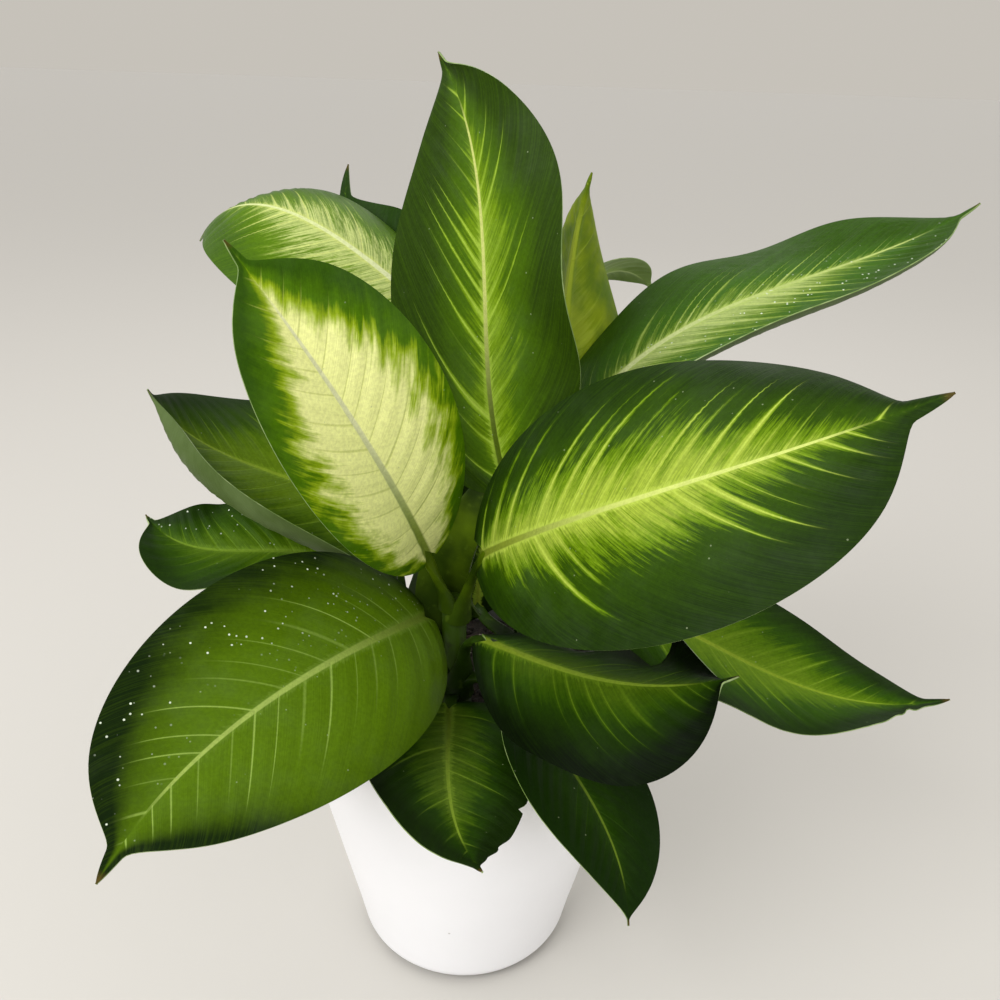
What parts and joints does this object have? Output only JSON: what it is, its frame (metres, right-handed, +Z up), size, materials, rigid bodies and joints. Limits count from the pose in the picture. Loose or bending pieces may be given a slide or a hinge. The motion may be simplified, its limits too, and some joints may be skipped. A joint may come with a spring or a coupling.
{
  "type": "potted dieffenbachia",
  "caption": "Bushy leafy house plant in a plain round tapered pot, with broad pointed variegated leaves on clasping stalks that spread from short canes.",
  "frame": {"origin": "middle of the pot's flat underside", "axes": "+Z up along the pot's axis; -Y is the front, where the cream leaf and the large lower leaves look out; +X to the right seen from the front"},
  "size_m": [0.4143, 0.36, 0.4558],
  "materials": {
    "pot": "smooth satin white glaze with a few tiny dark specks",
    "soil": "dark loose potting compost with bark crumbs",
    "cane": "smooth green cane with ring scars",
    "leaf": "satin dark green leaf with lime marbling beside the midrib and side veins",
    "cream_leaf": "satin cream-yellow leaf with green veins and margin"
  },
  "bodies": {
    "root": {"cane_front": "cane", "cane_left": "cane", "cane_right": "cane", "leaf_arched": "leaf", "leaf_back_drooping": "leaf", "leaf_back_left": "leaf", "leaf_back_low": "leaf", "leaf_back_right": "leaf", "leaf_cream": "cream_leaf", "leaf_front_left": "leaf", "leaf_front_low": "leaf", "leaf_front_right": "leaf", "leaf_hanging": "leaf", "leaf_inner": "leaf", "leaf_large_right": "leaf", "leaf_left_curled": "leaf", "leaf_left_low": "leaf", "leaf_long_right": "leaf", "leaf_right_low": "leaf", "leaf_rolled": "leaf", "leaf_upright": "leaf", "pot": "pot", "soil": "soil"}
  },
  "joints": []
}
